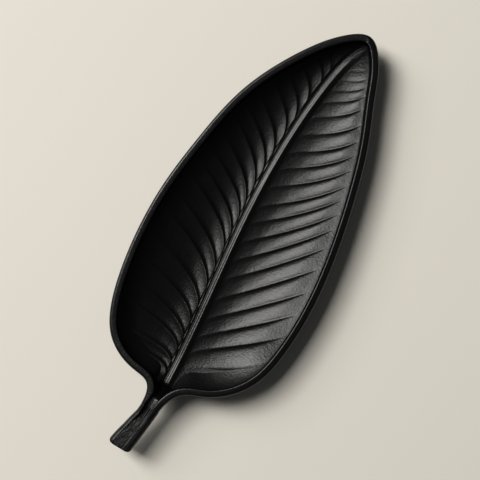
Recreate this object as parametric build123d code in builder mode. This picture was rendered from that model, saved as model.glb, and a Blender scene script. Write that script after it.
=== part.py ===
from build123d import *
from math import hypot, radians, sqrt, tan
import os

# Leaf shaped plate: one casting with a fluted blade, a rounded lip, a raised midrib in its
# channel and a lifted stem for a handle, on four soft pads pressed in pockets of its foot.
# +Y runs from the stem to the tip, +X to the right seen from above, +Z up from the table.

# Driving dimensions, in millimetres
blade_width = 123.0        # the widest place, over the lip
blade_length = 258.5       # from the root of the blade to the tip
stem_length = 46.5         # from the root of the blade to the end of the stem
rim_height = 26.0          # the table to the top of the lip
lip_width = 4.6
lip_outer_round = 2.2
lip_inner_round = 1.4
floor_height = 7.0         # the table to the middle of the hollow
underside_height = 3.0     # the table to the underside of the blade
flute_depth = 1.2
vein_width = 0.8           # the narrowest land between two flutes
midrib_width = 1.8         # left standing between its two channels
channel_radius = 1.6
channel_depth = 1.2
stem_neck_width = 12.6
stem_end_width = 15.7
stem_thickness = 9.8
stem_set_down = 0.4        # how far the stem's top lies below the lip at the root
stem_drop = 2.0            # how much lower it is at the end
stem_round = 3.2
stem_end_round = 2.6
pad_diameter = 9.0
pad_thickness = 2.0
pad_stand = 0.8            # how far a pad stands out of the foot
pad_clearance = 0.15       # round a pad in its pocket
pad_round = 0.4

# Shape of the plan, seen from above: (share of half the width, share of the blade's length)
right_edge = [(0.195, -0.055), (0.217, -0.026), (0.31, 0.011), (0.48, 0.036), (0.685, 0.068),
              (0.888, 0.134), (0.985, 0.23), (0.998, 0.33), (0.925, 0.506), (0.767, 0.651),
              (0.584, 0.786), (0.408, 0.876), (0.182, 0.972), (0.035, 1.0)]
left_edge = [(0.003, -0.055), (-0.014, -0.03), (-0.07, -0.005), (-0.229, 0.005), (-0.442, 0.018),
             (-0.637, 0.048), (-0.803, 0.11), (-0.904, 0.19), (-0.984, 0.318), (-1.0, 0.42),
             (-0.951, 0.572), (-0.831, 0.722), (-0.628, 0.832), (-0.442, 0.906), (-0.229, 0.968)]
midrib_course = [(0.105, -0.07), (0.11, -0.02), (0.089, 0.075), (0.015, 0.235), (-0.073, 0.4),
                 (-0.128, 0.54), (-0.146, 0.665), (-0.11, 0.84), (-0.036, 0.933), (0.03, 0.97)]
midrib_stations = [-0.012, 0.01, 0.04, 0.085, 0.16, 0.3, 0.46, 0.62, 0.78, 0.88]
channel_tail = 0.945       # where the channels have run out up the wall of the tip
channel_heads = [(-0.068, 0.6), (-0.04, -1.0)]   # on the stem: (share of the length, share of the depth up)
# The stem: (share of half the blade's width, share of the stem's length, share of its widening)
stem_course = [(0.1, 0.0, 0.0), (0.1, 0.25, 0.0), (0.093, 0.43, 0.0), (0.071, 0.61, 0.4),
               (0.042, 0.86, 0.93), (0.028, 1.0, 1.0)]

# Side walls: (share of the way out from the midrib, share of the wall's height)
outer_wall = [(0.45, 0.0), (0.55, 0.09), (0.7, 0.26), (0.83, 0.47), (0.93, 0.67), (0.985, 0.81),
              (1.0, 0.9), (1.0, 1.0)]
hollow_shares = [0.05, 0.3, 0.5, 0.65, 0.8, 0.9, 1.0]
hollow_power = 3.2         # flat in the middle, steep at the lip
foot_share = 0.42
pad_spread = 0.6           # how far out to the foot's edge the pads stand
pad_stations = {"root": 0.22, "tip": 0.7}

# Veins: right and left families, with the shares of the blade's length where they leave the midrib
right_veins, left_veins = 19, 20
first_vein, last_vein = -0.02, 0.865
vein_crowding = 1.12       # over 1, the veins stand closer at the root
flute_reach = 0.9          # how far out to the lip a flute runs before it leaves the wall
vein_bend = 14.0           # how far out a vein turns from its steep start to its run
right_slopes = (1.05, 0.85)
left_slopes = (0.95, 0.1)
left_slope_gain = 0.65     # the left veins rise more towards the tip

root_y = stem_length - (blade_length + stem_length) / 2
half_width = blade_width / 2
channel_half_width = sqrt(channel_radius ** 2 - (channel_radius - channel_depth) ** 2)
channel_spacing = midrib_width / 2 + channel_half_width


def in_plan(across, along):
    return Vector(across * half_width, root_y + along * blade_length)


def between(start, end, share):
    return start + (end - start) * share


rim_points = [in_plan(*point) for point in right_edge + left_edge[::-1]]
neck_y, tip_y = rim_points[0].Y, root_y + blade_length

with BuildLine() as rim:
    Spline(*rim_points)

with BuildLine() as midrib_plan:
    Spline(*[in_plan(*point) for point in midrib_course])


def midrib_at(along):
    """The midrib's point at a share of the blade's length."""
    first, last = midrib_course[0][1], midrib_course[-1][1]
    return midrib_plan.line @ ((along - first) / (last - first))


def inside_lip(point):
    """The point of the lip's inner edge that faces a point of the rim."""
    along_rim = rim.line % rim.edge().param_at_point(point)
    return point + Vector(-along_rim.Y, along_rim.X) * lip_width


def midrib_facing(point):
    """The point of the midrib that a point of the rim is drawn in to, lower down the wall."""
    return midrib_plan.line @ (0.16 + 0.76 * (point.Y - neck_y) / (tip_y - neck_y))


def leaf_section(points, share, height):
    """A level slice of the leaf, drawn in to the midrib."""
    with BuildSketch(Plane.XY.offset(height)) as level:
        with BuildLine():
            edge = Spline(*[between(midrib_facing(point), point, share) for point in points])
            Line(edge @ 1, edge @ 0)
        make_face()
    return level.sketch


with BuildPart() as hollow:
    lip_points = [inside_lip(point) for point in rim_points[1:-1]]
    for share in hollow_shares:
        height = between(floor_height, rim_height, share ** hollow_power)
        add(leaf_section(lip_points, share, height))
    add(leaf_section(lip_points, 1.0, rim_height + lip_width))
    loft()

with BuildLine() as lip_plan:
    Spline(*lip_points)

hollow_skin = hollow.part.shell()


def above_floor(x, y, height):
    """The point that stands this high off the hollow's wall, square to it."""
    point, outward = hollow_skin.find_intersection_points(Axis((x, y, 0), (0, 0, 1)))[0]
    return point - outward * height


def bend_radii(points):
    """The largest even bends that fit the corners of a path."""
    radii = []
    for before, corner, after in zip(points, points[1:], points[2:]):
        run_in, run_out = corner - before, after - corner
        half_turn = radians(run_in.get_angle(run_out)) / 2
        radii.append(0.45 * min(run_in.length, run_out.length) / max(tan(half_turn), 0.001))
    return radii


def round_bar(points, radius):
    """A round bar along straight runs joined by bends."""
    with BuildPart() as bar:
        with BuildLine() as path:
            FilletPolyline(*points, radius=bend_radii(points))
        with BuildSketch(Plane(path.line @ 0, z_dir=path.line % 0)):
            Circle(radius)
        sweep()
    return bar.part


def vein_rise(side, share, distance):
    """How far towards the tip a vein has come at a distance out from the midrib."""
    start_slope, run_slope = right_slopes if side > 0 else left_slopes
    if side < 0:
        run_slope += left_slope_gain * share
    return start_slope * min(distance, vein_bend) + run_slope * max(distance - vein_bend, 0)


def vein_place(veins, number):
    """The share of the blade's length where a vein leaves the midrib."""
    return between(first_vein, last_vein, (number / (veins - 1)) ** vein_crowding)


def flute(side, veins, gap):
    """The cutter of the hollow between two veins."""
    lower, upper = vein_place(veins, gap), vein_place(veins, gap + 1)
    along = (lower + upper) / 2
    start = midrib_at(along)
    start_slope = (right_slopes if side > 0 else left_slopes)[0]
    width = (upper - lower) * blade_length / hypot(1, start_slope) - vein_width
    radius = (width ** 2 / 4 + flute_depth ** 2) / (2 * flute_depth)
    ray = Axis(start, (side * half_width, vein_rise(side, along, half_width)))
    crossings = lip_plan.edge().find_intersection_points(ray)
    reach = min(abs(point.X - start.X) for point in crossings if (point.X - start.X) * side > 0)
    first = channel_spacing + channel_half_width + width / 4
    last = flute_reach * reach
    points = []
    for out, depth in [(0.0, -flute_depth / 2), (0.25, flute_depth), (0.67, flute_depth), (1.0, -flute_depth)]:
        distance = between(first, last, out)
        x, y = start.X + side * distance, start.Y + vein_rise(side, along, distance)
        points.append(above_floor(x, y, radius - depth))
    return round_bar(points, radius)


flutes = [flute(1, right_veins, gap) for gap in range(1, right_veins - 1)]
flutes += [flute(-1, left_veins, gap) for gap in range(1, left_veins - 1)]

def channel(side):
    """The cutter of the channel along one side of the midrib, from the stem's top to the tip."""
    aside = Vector(side * channel_spacing, 0, 0)
    points = []
    for along, rise in channel_heads:
        height = rim_height - stem_set_down + channel_radius + channel_depth * rise
        points.append(midrib_at(along) + aside + Vector(0, 0, height))
    for along in midrib_stations:
        place = midrib_at(along)
        points.append(above_floor(place.X, place.Y, channel_radius - channel_depth) + aside)
    tail = midrib_at(channel_tail)
    points.append(above_floor(tail.X, tail.Y, channel_radius + channel_depth) + aside)
    return round_bar(points, channel_radius)


with BuildPart() as stem:
    for across, along, widening in stem_course:
        width = between(stem_neck_width, stem_end_width, widening)
        middle = rim_height - stem_set_down - stem_drop * along - stem_thickness / 2
        with BuildSketch(Plane.XZ.offset(along * stem_length - root_y)):
            with Locations((across * half_width, middle)):
                RectangleRounded(width, stem_thickness, stem_round)
    loft()
    fillet(stem.faces().sort_by(Axis.Y)[0].edges(), stem_end_round)

pad_seats = {}
for end, along in pad_stations.items():
    for hand, side in [("left", -1), ("right", 1)]:
        middle = midrib_at(along)
        ray = Axis(middle, (side, 0))
        crossings = rim.edge().find_intersection_points(ray)
        reach = min(abs(point.X - middle.X) for point in crossings if (point.X - middle.X) * side > 0)
        pad_seats[f"foot_pad_{end}_{hand}"] = middle + Vector(side * reach * foot_share * pad_spread, 0, 0)

with BuildPart() as leaf_dish:
    for share, rise in outer_wall:
        add(leaf_section(rim_points, share, between(underside_height, rim_height, rise)))
    loft()
    add(hollow.part, mode=Mode.SUBTRACT)
    for alternate in (flutes[0::2], flutes[1::2]):
        add(alternate, mode=Mode.SUBTRACT)
    lip = leaf_dish.faces().sort_by(Axis.Z)[-1]
    fillet(lip.outer_wire().edges().filter_by(GeomType.BSPLINE), lip_outer_round)
    lip = leaf_dish.faces().sort_by(Axis.Z)[-1]
    fillet(lip.inner_wires()[0].edges(), lip_inner_round)
    add(leaf_section(rim_points, foot_share, pad_stand))
    extrude(amount=(underside_height + floor_height) / 2 - pad_stand)
    add(stem.part)
    add([channel(-1), channel(1)], mode=Mode.SUBTRACT)
    with BuildSketch(Plane.XY.offset(pad_stand)):
        with Locations(*pad_seats.values()):
            Circle(pad_diameter / 2 + pad_clearance)
    extrude(amount=pad_thickness - pad_stand, mode=Mode.SUBTRACT)

leaf_dish.part.label = "leaf_dish"
os.makedirs("parts", exist_ok=True)
export_step(leaf_dish.part, "parts/leaf_dish.step")

for name, seat in pad_seats.items():
    with BuildPart() as foot_pad:
        with BuildSketch():
            with Locations(seat):
                Circle(pad_diameter / 2)
        extrude(amount=pad_thickness)
        fillet(foot_pad.edges().group_by(Axis.Z)[0], pad_round)
    foot_pad.part.label = name
    export_step(foot_pad.part, f"parts/{name}.step")
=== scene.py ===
import bpy
import bmesh
import math
import numpy as np
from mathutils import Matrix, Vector, noise


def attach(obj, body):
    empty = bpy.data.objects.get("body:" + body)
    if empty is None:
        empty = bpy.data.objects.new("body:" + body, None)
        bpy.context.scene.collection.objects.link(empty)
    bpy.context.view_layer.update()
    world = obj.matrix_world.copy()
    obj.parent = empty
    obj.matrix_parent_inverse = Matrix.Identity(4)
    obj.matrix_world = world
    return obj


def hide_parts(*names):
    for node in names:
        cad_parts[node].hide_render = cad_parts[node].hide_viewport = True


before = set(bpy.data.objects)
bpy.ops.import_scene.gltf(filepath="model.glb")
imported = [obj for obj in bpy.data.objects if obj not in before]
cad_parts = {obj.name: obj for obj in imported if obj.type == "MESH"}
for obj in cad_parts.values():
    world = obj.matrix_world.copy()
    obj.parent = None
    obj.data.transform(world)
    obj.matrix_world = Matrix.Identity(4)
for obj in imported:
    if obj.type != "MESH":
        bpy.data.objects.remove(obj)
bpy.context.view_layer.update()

# Camera: it looks straight down from a metre above the lip, turned so that the stem points to the
# lower left. The plate almost fills the height of the picture.
turn, picture_width, camera_height = math.radians(31.66), 0.303, 1.026
picture_right = Vector((math.cos(turn), math.sin(turn), 0))
picture_up = Vector((-math.sin(turn), math.cos(turn), 0))
pixel = picture_width / 480
lens = bpy.data.cameras.new("camera")
lens.sensor_width = 36
lens.lens = 36 / picture_width
camera = bpy.data.objects.new("camera", lens)
camera.location = picture_right * -2 * pixel + picture_up * pixel + Vector((0, 0, camera_height))
camera.rotation_euler = (0, 0, turn)
bpy.context.scene.collection.objects.link(camera)
bpy.context.scene.camera = camera
bpy.context.scene.view_settings.view_transform = "Standard"

# Light: a big soft window to the left of the leaf, a weaker one lower down on the same side that
# draws the shadow out, and next to nothing from anywhere else. Both stand three metres off.
for name, height, energy, size in [("window", 57, 82, 0.95), ("low_window", 41, 32, 1.2)]:
    key = bpy.data.lights.new(name, "AREA")
    key.shape = "RECTANGLE"
    key.size = size
    key.size_y = 1.5
    key.energy = energy
    key.color = (1.0, 0.99, 0.965)
    window = bpy.data.objects.new(name, key)
    aim = Vector((-math.cos(math.radians(height)), 0.05, math.sin(math.radians(height))))
    window.location = aim * 3.0
    window.rotation_euler = aim.to_track_quat("Z", "Y").to_euler()
    bpy.context.scene.collection.objects.link(window)
world = bpy.data.worlds.new("room")
bpy.context.scene.world = world
world.use_nodes = True
nodes, links = world.node_tree.nodes, world.node_tree.links
nodes.clear()
dim = nodes.new("ShaderNodeBackground")
dim.inputs["Color"].default_value = (0.9, 0.95, 1.0, 1)
dim.inputs["Strength"].default_value = 0.05
pale = nodes.new("ShaderNodeBackground")
pale.inputs["Color"].default_value = (0.70, 0.67, 0.60, 1)
pale.inputs["Strength"].default_value = 1.0
seen = nodes.new("ShaderNodeLightPath")
mix = nodes.new("ShaderNodeMixShader")
out = nodes.new("ShaderNodeOutputWorld")
links.new(seen.outputs["Is Camera Ray"], mix.inputs["Fac"])
links.new(dim.outputs["Background"], mix.inputs[1])
links.new(pale.outputs["Background"], mix.inputs[2])
links.new(mix.outputs["Shader"], out.inputs["Surface"])

# Floor: a plain sheet of warm off-white board that the plate lies on, with a very faint unevenness
# of tone. It isn't part of the plate.
bm = bmesh.new()
bmesh.ops.create_grid(bm, x_segments=1, y_segments=1, size=3.0)
mesh = bpy.data.meshes.new("floor")
bm.to_mesh(mesh)
bm.free()
floor = bpy.data.objects.new("floor", mesh)
bpy.context.scene.collection.objects.link(floor)
board = bpy.data.materials.new("board")
board.use_nodes = True
nodes, links = board.node_tree.nodes, board.node_tree.links
paint = nodes["Principled BSDF"]
paint.inputs["Roughness"].default_value = 0.9
place = nodes.new("ShaderNodeTexCoord")
cloud = nodes.new("ShaderNodeTexNoise")
cloud.inputs["Scale"].default_value = 6.0
tone = nodes.new("ShaderNodeMix")
tone.data_type = "RGBA"
tone.inputs["A"].default_value = (0.715, 0.675, 0.600, 1)
tone.inputs["B"].default_value = (0.695, 0.665, 0.595, 1)
links.new(place.outputs["Object"], cloud.inputs["Vector"])
links.new(cloud.outputs["Fac"], tone.inputs["Factor"])
links.new(tone.outputs["Result"], paint.inputs["Base Color"])
mesh.materials.append(board)

# Leaf dish: iron cast in one piece, with a satin black enamel skin. It has a lip all round, a
# midrib in its channel, a flute between each two veins, and a stem with bark at its end. Each row
# of the mesh runs out along a vein, over the lip, down the wall and under the foot, on both sides.
right, left = 1, -1
half_width, blade_length, root_y, stem_length = 0.0615, 0.2585, -0.106, 0.0465
rim_top, lip_width, lip_round, lip_lean, tight_corner = 0.026, 0.0046, 0.0018, 0.0005, 0.00015
foot_top, foot_bottom = 0.003, 0.0008
stem_top, stem_drop, stem_thickness, stem_round = 0.0256, 0.002, 0.0098, 0.0032
stem_end, end_round, bar_end, neck_y = -0.1524, 0.0024, -0.1212, -0.1202
bar_sink, blade_start, blade_end = 0.0013, -0.113, 0.148


def along_leaf(points):
    """Plan points from (share of half the width, share of the blade's length)."""
    return np.array([(x * half_width, root_y + y * blade_length) for x, y in points])


def length_along(line):
    """How far along a line each of its points lies."""
    return np.concatenate([[0], np.cumsum(np.linalg.norm(np.diff(line, axis=0), axis=1))])


def curve_through(points, count):
    """A smooth curve through the points, as points evenly spaced along it."""
    knots = np.array(points, float)
    at = length_along(knots)
    gap = np.diff(at)[:, None]
    run = np.diff(knots, axis=0) / gap
    system, bend = np.eye(len(at)), np.zeros_like(knots)
    for k in range(1, len(at) - 1):
        system[k, k - 1:k + 2] = gap[k - 1, 0], 2 * (gap[k - 1, 0] + gap[k, 0]), gap[k, 0]
        bend[k] = 6 * (run[k] - run[k - 1])
    bend = np.linalg.solve(system, bend)
    fine = np.linspace(0, at[-1], 6000)
    k = np.clip(np.searchsorted(at, fine) - 1, 0, len(gap) - 1)
    b = (fine - at[k])[:, None] / gap[k]
    a = 1 - b
    line = a * knots[k] + b * knots[k + 1]
    line += ((a ** 3 - a) * bend[k] + (b ** 3 - b) * bend[k + 1]) * gap[k] ** 2 / 6
    gone = length_along(line)
    even = np.linspace(0, gone[-1], count)
    return np.column_stack([np.interp(even, gone, line[:, axis]) for axis in range(2)])


def ease(value, low, high):
    """0 below low, 1 above high and smooth between."""
    t = np.clip((value - low) / (high - low), 0, 1)
    return t * t * (3 - 2 * t)


def at_share(line, share):
    """Points of an evenly spaced line at shares of its length."""
    place = np.clip(share, 0, 1) * (len(line) - 1)
    every = np.arange(len(line))
    return np.column_stack([np.interp(place, every, line[:, axis]) for axis in range(2)])


def away_from(line, points):
    """The distance of each point to the nearest place on a line."""
    nearest = np.full(len(points), 1e9)
    for start in range(0, len(points), 500):
        part = points[start:start + 500]
        gap = part[:, None, :] - line[None, :, :]
        nearest[start:start + 500] = np.sqrt((gap ** 2).sum(axis=2).min(axis=1))
    return nearest


# the outer edge, round from the right of the neck by way of the tip, and the line of the midrib
rim = curve_through(along_leaf([
    (0.195, -0.055), (0.217, -0.026), (0.31, 0.011), (0.488, 0.0325), (0.697, 0.065), (0.9, 0.132),
    (0.988, 0.23), (0.996, 0.33), (0.904, 0.505), (0.758, 0.65), (0.57, 0.785), (0.402, 0.875),
    (0.189, 0.973), (0.045, 0.9994), (-0.226, 0.967), (-0.44, 0.906), (-0.626, 0.832),
    (-0.821, 0.722), (-0.941, 0.572), (-0.998, 0.42), (-0.984, 0.318), (-0.904, 0.19),
    (-0.805, 0.11), (-0.642, 0.0465), (-0.446, 0.0155), (-0.231, 0.0028), (-0.075, -0.007),
    (-0.02, -0.031), (-0.008, -0.055)]), 2401)
tangent = np.gradient(rim, axis=0)
tangent /= np.linalg.norm(tangent, axis=1)[:, None]
outward = np.column_stack([tangent[:, 1], -tangent[:, 0]])
midrib = curve_through(along_leaf([
    (0.1, -0.18), (0.103, -0.12), (0.105, -0.07), (0.11, -0.02), (0.089, 0.075), (0.015, 0.235),
    (-0.073, 0.4), (-0.128, 0.54), (-0.146, 0.665), (-0.11, 0.84), (-0.036, 0.933),
    (0.055, 0.985)]), 1500)
tip = int(np.argmin(np.linalg.norm(rim - along_leaf([(0.045, 1.0)])[0], axis=1)))
spine = midrib[(midrib[:, 1] > -0.081) & (midrib[:, 1] < 0.120)]
full_breadth = 0.054


def rim_half(side):
    """One half of the rim from the neck to the tip, and which way is out along it."""
    part = slice(0, tip + 1) if side == right else slice(len(rim) - 1, tip - 1, -1)
    return rim[part], outward[part]


opening = []
for side in (right, left):
    edge, out_way = rim_half(side)
    inner = (edge - out_way * lip_width)[edge[:, 1] > blade_start]
    opening.append(inner if side == right else inner[::-1])
closing = np.linspace(opening[1][-1], opening[0][0], 60)
opening = np.concatenate(opening + [closing])

# where the veins leave the midrib, and how far round the lip the vein that starts there ends
vein_starts = {
    right: np.array([-104.1, -94.9, -83.9, -72.8, -59.9, -46.0, -31.8, -18.8, -5.6, 7.4, 19.1,
                     33.0, 46.2, 58.5, 71.5, 84.7, 96.7, 106.5, 115.0, 123.5, 131.0]) * 0.001,
    left: np.array([-105, -97, -92, -83, -75, -64, -53, -40, -28, -14, -3, 9, 18, 30, 43, 55.5,
                    70, 83, 97, 112, 121.5, 130]) * 0.001}
lip_ends = {
    right: [(0, 0), (0.034, 0.109), (0.069, 0.265), (0.112, 0.328), (0.154, 0.387),
            (0.257, 0.496), (0.361, 0.586), (0.438, 0.637), (0.523, 0.694), (0.663, 0.784),
            (0.765, 0.857), (0.867, 0.911), (0.922, 0.945), (1, 1)],
    left: [(0, 0), (0.031, 0.042), (0.061, 0.127), (0.08, 0.179), (0.115, 0.223), (0.146, 0.274),
           (0.188, 0.316), (0.23, 0.369), (0.28, 0.429), (0.326, 0.466), (0.379, 0.514),
           (0.421, 0.549), (0.467, 0.578), (0.502, 0.627), (0.548, 0.665), (0.598, 0.699),
           (0.646, 0.734), (0.701, 0.774), (0.751, 0.809), (0.805, 0.844), (0.862, 0.879),
           (0.898, 0.905), (0.931, 0.93), (1, 1)]}

# rows go from the stem's end to the tip, and columns from the midrib out to the middle of the foot
cap_rows, end_rows, stem_rows, root_rows, neck_rows, blade_rows = 3, 6, 30, 8, 8, 345
ridge_cols, channel_cols, panel_cols = 9, 10, 44
lip_cols, lip_rise_cols, wall_cols, foot_cols, bottom_cols = 15, 6, 10, 4, 3
first_root = cap_rows + end_rows + stem_rows
first_neck = first_root + root_rows
first_blade = first_neck + neck_rows
row_count = first_blade + blade_rows + 1
inside_cols = ridge_cols + channel_cols + panel_cols
side_cols = inside_cols + lip_cols + wall_cols + foot_cols + bottom_cols - 1
rows = np.arange(row_count)
stations = np.concatenate([
    np.full(cap_rows, stem_end),
    stem_end + end_round * (1 - np.cos(np.linspace(0, math.pi / 2, end_rows + 1)))[:-1],
    np.linspace(stem_end + end_round, bar_end, stem_rows + 1)[:-1],
    np.linspace(bar_end, neck_y, root_rows + 1)[:-1],
    np.linspace(neck_y, blade_start, neck_rows + 1)[:-1],
    np.linspace(blade_start, blade_end, blade_rows + 1)])
before_neck = (rows < first_neck)[:, None]
root_share = np.clip((rows - first_root) / root_rows, 0, 1)[:, None]
on_leaf = np.clip(rows - first_blade, 0, 30)[:, None] / 30

# the stem widens towards its end, bends to the left and droops a little
stem_y = [stem_end, -0.146, -0.1343, -0.126, -0.1176]
stem_x = np.interp(stations, stem_y, [0.0017, 0.0026, 0.0044, 0.0057, 0.00615])
stem_half = np.interp(stations, stem_y, [0.00785, 0.00774, 0.00692, 0.0063, 0.0063])
centre_x = np.where(stations < -0.118, stem_x, np.interp(stations, midrib[:, 1], midrib[:, 0]))
rim_z = rim_top - (rim_top - stem_top) * (1 - ease(stations, -0.125, -0.108))
droop = np.clip((root_y - stations) / stem_length, 0, 1) * ease(-stations, 0.115, 0.128)
rim_z -= stem_drop * droop
# how much of half the bar's width its rounded lip takes, and how the rows crowd at a crest
bar_share, crowding = {right: 0.72, left: 0.42}, 1.35


def half_rows(side):
    """Where each row of one half leaves the midrib, and where it meets the lip and the rim."""
    edge, out_way = rim_half(side)
    crest = vein_starts[side]
    # each crest falls on a row of its own, so that it stays sharp
    crest_rows = np.round(np.interp(crest, stations[first_blade:], rows[first_blade:]))
    known_rows = np.concatenate([rows[:first_blade + 1], crest_rows, [row_count - 1]])
    known_y = np.concatenate([stations[:first_blade + 1], crest, [blade_end]])
    # and the rows stand closer on the steep side of each crest
    flute = np.clip(np.searchsorted(known_rows, rows, side="right") - 1, 0, len(known_rows) - 2)
    done = (rows - known_rows[flute]) / (known_rows[flute + 1] - known_rows[flute])
    done = done ** crowding if side == left else 1 - (1 - done) ** crowding
    start_y = np.where(rows > first_blade,
                       known_y[flute] + done * (known_y[flute + 1] - known_y[flute]),
                       np.interp(rows, known_rows, known_y))
    share = np.clip((start_y - blade_start) / (blade_end - blade_start), 0, 1)
    # the ends round the lip are smoothed over about a tenth of the blade
    known = np.array(lip_ends[side])
    fine = np.linspace(0, 1, 401)
    drawn = np.interp(fine, known[:, 0], known[:, 1])
    before, after = 2 * drawn[0] - drawn[20:0:-1], 2 * drawn[-1] - drawn[-2:-22:-1]
    weight = np.hanning(41)
    drawn = np.convolve(np.concatenate([before, drawn, after]), weight / weight.sum(), "valid")
    first_edge = int(np.argmax(edge[:, 1] > blade_start)) / (len(edge) - 1)
    place = first_edge + (1 - first_edge) * np.interp(share, fine, drawn)
    neck = (stations >= neck_y) & (stations < blade_start)
    place[neck] = first_edge * (stations[neck] - neck_y) / (blade_start - neck_y)
    stem = stations < neck_y
    place[stem] = 0
    rim_at, out_at = at_share(edge, place), at_share(out_way, place)
    rim_at[stem] = np.column_stack([centre_x + side * stem_half, stations])[stem]
    out_at[stem] = (side, 0)
    start_x = np.interp(start_y, midrib[:, 1], midrib[:, 0])
    middle = np.column_stack([np.where(stem, centre_x, start_x), np.where(stem, stations, start_y)])
    middle[-1] = rim_at[-1] - out_at[-1] * lip_width
    on_bar = stem_half * bar_share[side]
    band = on_bar + (lip_width - on_bar) * ease(stations, bar_end, -0.109)
    inner = rim_at - out_at * np.where(stations < blade_start, band, lip_width)[:, None]
    return dict(share=share, start_y=start_y, rim=rim_at, out=out_at, middle=middle, inner=inner)


halves = {side: half_rows(side) for side in (right, left)}
common = (halves[right]["middle"] + halves[left]["middle"]) / 2


def inside_plan(half, side):
    """Plan points of the inside: a row crosses the channel squarely, then follows its vein."""
    middle, inner, share = half["middle"], half["inner"], half["share"]
    length = np.linalg.norm(inner - middle, axis=1)
    square = np.array([side, 1.1 if side == right else 0.0])
    sideways = np.minimum(0.0036, 0.3 * length)[:, None] * square
    edge_at = middle + sideways * on_leaf + (inner - middle) * 0.1 * (1 - on_leaf)
    run = inner - edge_at
    span = np.linalg.norm(run, axis=1)
    if side == right:
        start_angle = np.radians(np.interp(share, [0, 0.12, 0.3, 0.8, 1], [60, 58, 48, 48, 40]))
        end_angle = np.radians(np.interp(share, [0, 0.2, 0.5, 0.8, 1], [46, 52, 59, 61, 70]))
        arms = np.minimum(0.010, 0.3 * span), 0.42 * span
    else:
        start_angle = np.radians(np.interp(share, [0, 0.1, 0.85, 1], [74, 80, 80, 74]))
        end_angle = np.radians(np.interp(share, [0, 0.15, 0.42, 0.6, 0.8, 1],
                                         [3, 8, 19, 27, 34, 45]))
        longest = np.interp(share, [0, 0.3, 0.8, 1], [0.010, 0.0145, 0.0135, 0.005])
        arms = np.minimum(longest, 0.38 * span), 0.5 * span
    handles = []
    for angle, arm in zip((start_angle, end_angle), arms):
        way = np.column_stack([side * np.cos(angle), np.sin(angle)])
        plain = run / np.maximum(span, 1e-9)[:, None]
        handles.append((way * on_leaf + plain * (1 - on_leaf)) * arm[:, None])
    handle_a, handle_b = edge_at + handles[0], inner - handles[1]
    fine = np.linspace(0, 1, 60)[None, :, None]
    path = ((1 - fine) ** 3 * edge_at[:, None] + 3 * (1 - fine) ** 2 * fine * handle_a[:, None]
            + 3 * (1 - fine) * fine ** 2 * handle_b[:, None] + fine ** 3 * inner[:, None])
    path = np.concatenate([middle[:, None], path], axis=1)
    # how far along its row each column lies: past the ridge, past the channel, up to the lip
    near = np.minimum(0.0016, 0.18 * length)
    far = np.minimum(0.0056, 0.55 * length)
    last = np.maximum(length - 0.0011, 0.9 * length)
    steps = np.concatenate([
        near[:, None] * np.linspace(0, 1, ridge_cols + 1)[:-1],
        near[:, None] + (far - near)[:, None] * np.linspace(0, 1, channel_cols + 1)[:-1],
        far[:, None] + (last - far)[:, None] * np.linspace(0, 1, panel_cols)], axis=1)
    plan = np.zeros((row_count, inside_cols, 2))
    for i in rows:
        gone = length_along(path[i])
        where = steps[i] * gone[-1] / max(length[i], 1e-9)
        for axis in range(2):
            plan[i, :, axis] = np.interp(where, gone, path[i, :, axis])
    # both sides meet on one line down the middle
    blend = np.clip(1 - steps / np.maximum(far, 1e-9)[:, None], 0, 1)[:, :, None]
    return plan + (common - middle)[:, None] * blend


def place_in_leaf(plan):
    """How far off the midrib, what share of the way out to the lip, and how broad the leaf is."""
    flat = plan.reshape(-1, 2)
    inward, to_edge = away_from(spine, flat), away_from(opening, flat)
    out_share = inward / np.maximum(inward + to_edge, 1e-9)
    breadth = np.clip((inward + to_edge) / full_breadth, 0.3, 1.05)
    found = away_from(midrib, flat), out_share, breadth
    return [values.reshape(plan.shape[:2]) for values in found]


floor_height, panel_top, tip_lift = 0.0070, 0.0190, 0.003


def panel_height(side, y, from_midrib, out_share, breadth):
    """The height of the inside without its veins: it rises from the midrib to the lip."""
    low = floor_height + tip_lift * ease(y, 0.06, 0.135)
    gentle = 1 - 0.38 * ease(-y, 0.03, 0.085)
    hollow = low + gentle * (panel_top - floor_height) * breadth ** 1.05 * out_share ** 2.35
    # the leaf is folded: it crowns at the midrib and falls away on both sides
    crown = 0.0010 if side == right else 0.0018 - 0.0011 * ease(y, -0.03, 0.08)
    hollow += crown * (1 - ease(from_midrib, 0.0, 0.018)) * breadth
    # at the neck the middle climbs to the level of the stem
    ramp = np.clip((-0.1035 - y) / 0.0095, 0, 1) * (1 - ease(from_midrib, 0.003, 0.009))
    return hollow + (stem_top - bar_sink - hollow) * ramp


rng = np.random.default_rng(7)
flute_depth, crest_height = {right: 0.00082, left: 0.0011}, 0.00022
flute_lowest = {right: 0.66, left: 0.28}
flute_start = {right: (0.0034, 0.0085), left: (0.0029, 0.0040)}
root_flute = {right: 0.25, left: 0.7}


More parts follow.
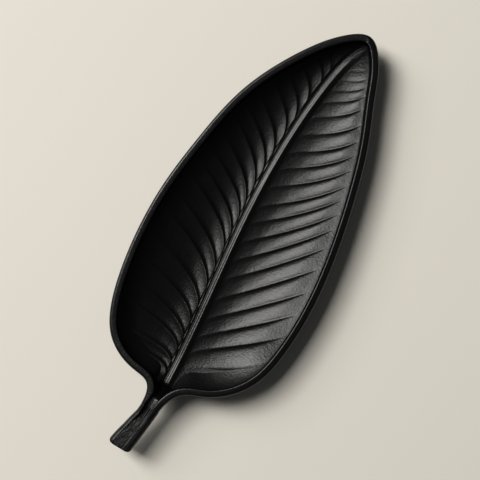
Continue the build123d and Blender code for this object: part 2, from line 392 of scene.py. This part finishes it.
def flutes(half, side, y, from_midrib, out_share):
    """How deep the flutes are, and how high the fine line along each crest stands."""
    crest = np.concatenate([[-1.0], vein_starts[side], [1.0]])
    gap = np.clip(np.searchsorted(crest, half["start_y"] + 1e-9) - 1, 0, len(crest) - 2)
    inside = (half["start_y"] - crest[gap]) / (crest[gap + 1] - crest[gap])
    # no two are quite alike, and they grow shallow next to the stem and at the tip
    deep = np.where((gap == 0) | (gap == len(crest) - 2), 0.0, 1.0)
    deep *= 1 + 0.12 * (rng.random(len(crest))[gap] - 0.5)
    deep *= np.where(gap == 1, root_flute[side], 1.0) * (1 - 0.75 * ease(half["share"], 0.78, 0.94))
    # a round hollow from crest to crest, with its lowest place off the middle
    lowest = flute_lowest[side]
    falling = (inside / lowest) * (2 - inside / lowest)
    rising = 1 - ((inside - lowest) / (1 - lowest)) ** 2
    hollowed = np.where(inside < lowest, falling, rising) * deep
    # they begin at the channel and run out before the lip
    reach = ease(from_midrib, *flute_start[side]) * (1 - ease(out_share, 0.75, 0.97))
    if side == right:
        reach = reach * (0.32 + 0.68 * ease(from_midrib, 0.008, 0.030))
    else:
        reach = reach * (0.85 + 0.35 * ease(from_midrib, 0.005, 0.010)
                         - 0.4 * ease(from_midrib, 0.018, 0.036))
        reach = reach * (1 - 0.3 * ease(y, 0.03, 0.10))
    line = np.exp(-(np.minimum(inside, 1 - inside) / 0.07) ** 2) * np.minimum(deep, 1)
    line = crest_height * line[:, None] * ease(from_midrib, 0.012, 0.030)
    return flute_depth[side] * hollowed[:, None] * reach, line * (1 - ease(out_share, 0.9, 0.97))


ridge_height, ridge_lean, ridge_half, flank_height = 0.0010, 0.31, 0.00155, 0.00128
channel_depth, channel_fall = 0.0009, 0.0014
stem_groove = {right: 0.0002, left: 0.0014}


def midrib_relief(side, from_midrib):
    """The midrib: a round ridge, with a deep channel on its left and a long flank on its right."""
    ridge = ridge_height + side * ridge_lean * from_midrib
    ridge = ridge * np.exp(-(from_midrib / ridge_half) ** 10)
    if side == left:
        channel = channel_depth * (1 - ease(from_midrib, 0.0036, 0.0041))
        channel += channel_fall * np.clip((0.0038 - from_midrib) / 0.0024, 0, 1)
        channel *= ease(from_midrib, 0.0014, 0.0017)
        on_stem = stem_groove[side] * ease(from_midrib, 0.0014, 0.0017)
    else:
        flank = flank_height * (1 - ease(from_midrib, 0.0009, 0.0048))
        ridge = np.where(from_midrib < 0.0009, ridge, np.maximum(ridge * 0.9, flank))
        channel = 0.0
        on_stem = stem_groove[side] * ease(from_midrib, 0.0008, 0.0020)
    narrow = ease(-stations, 0.105, 0.116)[:, None]
    return ridge - (channel * (1 - narrow) + on_stem * narrow)


def lip_points(half, side, panel_edge):
    """The lip: a low wall up from the panel, a tight corner, a flat top and a round outer edge."""
    edge, out_way, inner = half["rim"], half["out"], half["inner"]
    radius = np.interp(stations, [-0.125, -0.112], [stem_round, lip_round])[:, None]
    # its flat top leans a little to the right
    lean_in, lean_out = (0.0, lip_lean) if side == right else (lip_lean, 0.0)
    inner_z, outer_z = rim_z - lean_in * on_leaf[:, 0], rim_z - lean_out * on_leaf[:, 0]
    width = np.linalg.norm(inner - edge, axis=1)
    corner = np.column_stack([inner, inner_z])
    foot_of_lip = np.column_stack([inner + out_way * 0.0001, panel_edge[:, 2]])
    below = corner - [0, 0, tight_corner]
    t = np.linspace(0, 1, lip_rise_cols + 1)[None, 1:, None]
    rise = ((1 - t) ** 2 * panel_edge[:, None] + 2 * (1 - t) * t * foot_of_lip[:, None]
            + t ** 2 * below[:, None])
    level_out = np.column_stack([out_way, 0 * rim_z])
    beside = corner + level_out * np.minimum(tight_corner, 0.05 * width)[:, None]
    outer_flat = edge - out_way * np.minimum(width - 0.0008, width * 0.85)[:, None]
    on_top = np.column_stack([outer_flat, inner_z])
    arc = np.linspace(0, math.pi / 2, lip_cols - lip_rise_cols - 2)
    inset, drop = radius * (1 - np.sin(arc))[None, :], radius * (1 - np.cos(arc))[None, :]
    rounded = np.dstack([edge[:, None, :] - out_way[:, None, :] * inset[:, :, None],
                         outer_z[:, None] - drop])
    return np.concatenate([rise, beside[:, None], on_top[:, None], rounded], axis=1)


wall_shape = curve_through([(0.45, 0.0), (0.55, 0.09), (0.7, 0.26), (0.83, 0.42), (0.93, 0.59),
                            (0.985, 0.78), (1.0, 0.918)], wall_cols + 1)[::-1]
foot_shape = [(0.43, foot_top), (0.42, foot_top - 0.0004), (0.42, foot_bottom + 0.0003),
              (0.414, foot_bottom)]
rim_reach = 0.2727


def outer_wall(half):
    """The outer wall, drawn in to the foot, and the place under the midrib that it draws in to."""
    edge = half["rim"]
    along = (edge[:, 1] - neck_y) / rim_reach
    facing = at_share(midrib[midrib[:, 1] > -0.125], 0.16 + 0.76 * along)
    levels = [(out, foot_top + (rim_top - foot_top) * up) for out, up in wall_shape[1:]]
    wall = [np.column_stack([facing + (edge - facing) * out, np.full(row_count, z)])
            for out, z in levels + foot_shape]
    return facing, np.stack(wall, axis=1)


def stem_side(side):
    """On the stem the wall's columns run down its side instead, and round under it."""
    down = np.linspace(stem_round, stem_thickness - stem_round, wall_cols + 1)[1:]
    bar = [np.column_stack([centre_x + side * stem_half, stations, rim_z - by]) for by in down]
    for angle in np.linspace(0, math.pi / 2, foot_cols + 1)[1:]:
        bar.append(np.column_stack([
            centre_x + side * (stem_half - stem_round * (1 - math.cos(angle))), stations,
            rim_z - stem_thickness + stem_round * (1 - math.sin(angle))]))
    return np.stack(bar, axis=1)


tipward = 1 - 0.75 * ease(stations, 0.10, 0.146)
stemward = ease(stations, -0.1345, -0.124)
for side in (right, left):
    half = halves[side]
    plan = inside_plan(half, side)
    y = plan[:, :, 1]
    from_midrib, out_share, breadth = place_in_leaf(plan)
    panel = panel_height(side, y, from_midrib, out_share, breadth)
    height = np.where((rows < first_blade)[:, None], rim_z[:, None], panel)
    hollowed, crest_line = flutes(half, side, y, from_midrib, out_share)
    height = height - hollowed
    height += crest_line
    height += midrib_relief(side, from_midrib) * (tipward * stemward)[:, None]
    height[rows < first_blade] -= bar_sink * stemward[rows < first_blade, None]
    inside = np.dstack([plan, np.minimum(height, rim_z[:, None])])
    half["facing"], wall = outer_wall(half)
    root = (stem_side(side) * (1 - root_share[:, None])
            + wall[first_neck][None] * root_share[:, None])
    lower = np.where(before_neck[:, None], root, wall)
    lip = lip_points(half, side, inside[:, -1])
    half["columns"] = np.concatenate([inside, lip, lower], axis=1)

# the middle of the underside, from the stem over the neck to the foot
foot_middle = (halves[right]["facing"] + halves[left]["facing"]) / 2
foot_middle = np.column_stack([foot_middle, np.full(row_count, foot_bottom)])
stem_middle = np.column_stack([centre_x, stations, rim_z - stem_thickness])
front = (halves[right]["columns"][first_neck, -1] + halves[left]["columns"][first_neck, -1]) / 2
neck_share = np.clip((rows - first_neck) / 20, 0, 1)[:, None]
under = np.where(before_neck, stem_middle * (1 - root_share) + front * root_share,
                 front * (1 - neck_share) + foot_middle * neck_share)
grid = np.zeros((row_count, 2 * side_cols + 1, 3))
for side in (right, left):
    columns = halves[side]["columns"]
    t = np.linspace(0, 1, bottom_cols + 1)[None, 1:, None]
    bottom = columns[:, -1:] * (1 - t) + under[:, None] * t
    ring = np.concatenate([columns, bottom], axis=1)
    if side == right:
        grid[:, :side_cols + 1] = ring
    else:
        grid[:, side_cols:] = ring[:, ::-1]

# both sides end in one line at the tip, and share one down the middle
grid[-1, side_cols:] = grid[-1, side_cols::-1]
grid[:, 0] = grid[:, -1] = (grid[:, 0] + grid[:, -1]) / 2

# the stem's end is rounded over, and closed with a flat face
whole = grid[cap_rows + end_rows]
middle = whole.mean(axis=0)
reach = np.abs(whole - middle).max(axis=0)
for i in range(cap_rows, cap_rows + end_rows):
    inward = end_round * (1 - math.sin((i - cap_rows) / end_rows * math.pi / 2))
    grid[i] = (whole - middle) * [1 - inward / reach[0], 1, 1 - inward / reach[2]] + middle
    grid[i, :, 1] = stations[i]
middle = grid[cap_rows].mean(axis=0)
for i in range(cap_rows):
    grid[i] = middle + (grid[cap_rows] - middle) * i / cap_rows

# bark on the outer half of the stem: long ragged furrows and a few knots
bark_depth = 0.0007
furrows_across, furrows_along, knots_across, knots_along = 620, 210, 300, 260
bark = np.zeros((row_count, 2 * side_cols + 1))
for i in range(cap_rows, first_neck):
    depth = ease(-stations[i], 0.1235, 0.131)
    if depth <= 0:
        continue
    for j in range(grid.shape[1]):
        x, y, z = grid[i, j]
        sway = 40 * math.sin(y * 190)
        furrow = noise.fractal(Vector((x * furrows_across + sway, y * furrows_along,
                                       z * furrows_across)), 0.9, 2.2, 4)
        knot = noise.noise(Vector((x * knots_across, y * knots_along, z * knots_across + 7)))
        relief = min(0.0, -abs(furrow) * 1.1 + 0.35) + 0.35 * min(0.0, knot)
        away = np.array([x - centre_x[i], 0, z - (rim_z[i] - stem_thickness / 2)])
        away /= max(np.linalg.norm(away), 1e-6)
        grid[i, j] += away * relief * bark_depth * depth
        bark[i, j] = depth

# the casting itself: a flat grid whose points are moved to their places, then closed
bm = bmesh.new()
bmesh.ops.create_grid(bm, x_segments=grid.shape[1] - 1, y_segments=row_count - 1, size=1)
barked = bm.verts.layers.float.new("barked")
for vertex in bm.verts:
    j = round((vertex.co.x + 1) / 2 * (grid.shape[1] - 1))
    i = round((vertex.co.y + 1) / 2 * (row_count - 1))
    vertex.co = grid[i, j]
    vertex[barked] = bark[i, j]
bmesh.ops.remove_doubles(bm, verts=bm.verts, dist=0.000002)
bmesh.ops.dissolve_degenerate(bm, edges=bm.edges, dist=0.0000005)
bmesh.ops.recalc_face_normals(bm, faces=bm.faces)
for face in bm.faces:
    face.smooth = True
mesh = bpy.data.meshes.new("leaf_casting")
bm.to_mesh(mesh)
bm.free()
leaf_casting = bpy.data.objects.new("leaf_casting", mesh)
bpy.context.scene.collection.objects.link(leaf_casting)
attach(leaf_casting, "root")
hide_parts("leaf_dish")

# the skin: fine pebbles on broader swells, as sand leaves them in the iron under the enamel
cast_skin = bpy.data.node_groups.new("cast_skin", "ShaderNodeTree")
cast_skin.interface.new_socket("Grain Scale", in_out="INPUT", socket_type="NodeSocketFloat")
cast_skin.interface.new_socket("Height", in_out="OUTPUT", socket_type="NodeSocketFloat")
cast_skin.interface.new_socket("Mottle", in_out="OUTPUT", socket_type="NodeSocketFloat")
nodes, links = cast_skin.nodes, cast_skin.links
given = nodes.new("NodeGroupInput")
result = nodes.new("NodeGroupOutput")
place = nodes.new("ShaderNodeTexCoord")
pebble = nodes.new("ShaderNodeTexNoise")
pebble.inputs["Detail"].default_value = 4.0
pebble.inputs["Roughness"].default_value = 0.6
links.new(place.outputs["Object"], pebble.inputs["Vector"])
links.new(given.outputs["Grain Scale"], pebble.inputs["Scale"])
swell = nodes.new("ShaderNodeTexNoise")
swell.inputs["Scale"].default_value = 140.0
swell.inputs["Detail"].default_value = 3.0
swell.inputs["Distortion"].default_value = 0.8
links.new(place.outputs["Object"], swell.inputs["Vector"])
both = nodes.new("ShaderNodeMath")
both.operation = "MULTIPLY_ADD"
both.inputs[1].default_value = 0.6
links.new(swell.outputs["Fac"], both.inputs[0])
links.new(pebble.outputs["Fac"], both.inputs[2])
links.new(both.outputs["Value"], result.inputs["Height"])
links.new(swell.outputs["Fac"], result.inputs["Mottle"])


def skin_over(material, grain_scale, strength, depth, dark, light):
    """Puts the skin's relief and its two mottled tones on a material."""
    material.use_nodes = True
    nodes, links = material.node_tree.nodes, material.node_tree.links
    surface = nodes["Principled BSDF"]
    skin = nodes.new("ShaderNodeGroup")
    skin.node_tree = cast_skin
    skin.inputs["Grain Scale"].default_value = grain_scale
    relief = nodes.new("ShaderNodeBump")
    relief.inputs["Strength"].default_value = strength
    relief.inputs["Distance"].default_value = depth
    links.new(skin.outputs["Height"], relief.inputs["Height"])
    links.new(relief.outputs["Normal"], surface.inputs["Normal"])
    shade = nodes.new("ShaderNodeMix")
    shade.data_type = "RGBA"
    shade.inputs["A"].default_value = dark
    shade.inputs["B"].default_value = light
    links.new(skin.outputs["Mottle"], shade.inputs["Factor"])
    links.new(shade.outputs["Result"], surface.inputs["Base Color"])
    return surface, skin


enamel = bpy.data.materials.new("black_enamel")
coat, skin = skin_over(enamel, 780.0, 0.9, 0.0002,
                       (0.0018, 0.0018, 0.0019, 1), (0.0030, 0.0030, 0.0029, 1))
coat.inputs["IOR"].default_value = 1.5
coat.inputs["Specular IOR Level"].default_value = 0.29
nodes, links = enamel.node_tree.nodes, enamel.node_tree.links
sheen = nodes.new("ShaderNodeMapRange")
sheen.inputs["To Min"].default_value = 0.29
sheen.inputs["To Max"].default_value = 0.34
links.new(skin.outputs["Mottle"], sheen.inputs["Value"])
# the bark is a little duller than the rest
tooled = nodes.new("ShaderNodeAttribute")
tooled.attribute_name = "barked"
duller = nodes.new("ShaderNodeMath")
duller.operation = "MULTIPLY_ADD"
duller.inputs[1].default_value = 0.1
links.new(tooled.outputs["Fac"], duller.inputs[0])
links.new(sheen.outputs["Result"], duller.inputs[2])
links.new(duller.outputs["Value"], coat.inputs["Roughness"])
mesh.materials.append(enamel)

# Foot pads: four round soft black rubber discs, each pressed in a pocket of the foot so that the
# iron doesn't mark the table. They are seen only from below.
pad_rubber = bpy.data.materials.new("pad_rubber")
rubber, _ = skin_over(pad_rubber, 2600.0, 0.4, 0.00005,
                      (0.018, 0.018, 0.018, 1), (0.030, 0.029, 0.028, 1))
rubber.inputs["Roughness"].default_value = 0.75
for end in ("root", "tip"):
    for hand in ("left", "right"):
        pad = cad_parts[f"foot_pad_{end}_{hand}"]
        pad.data.materials.clear()
        pad.data.materials.append(pad_rubber)
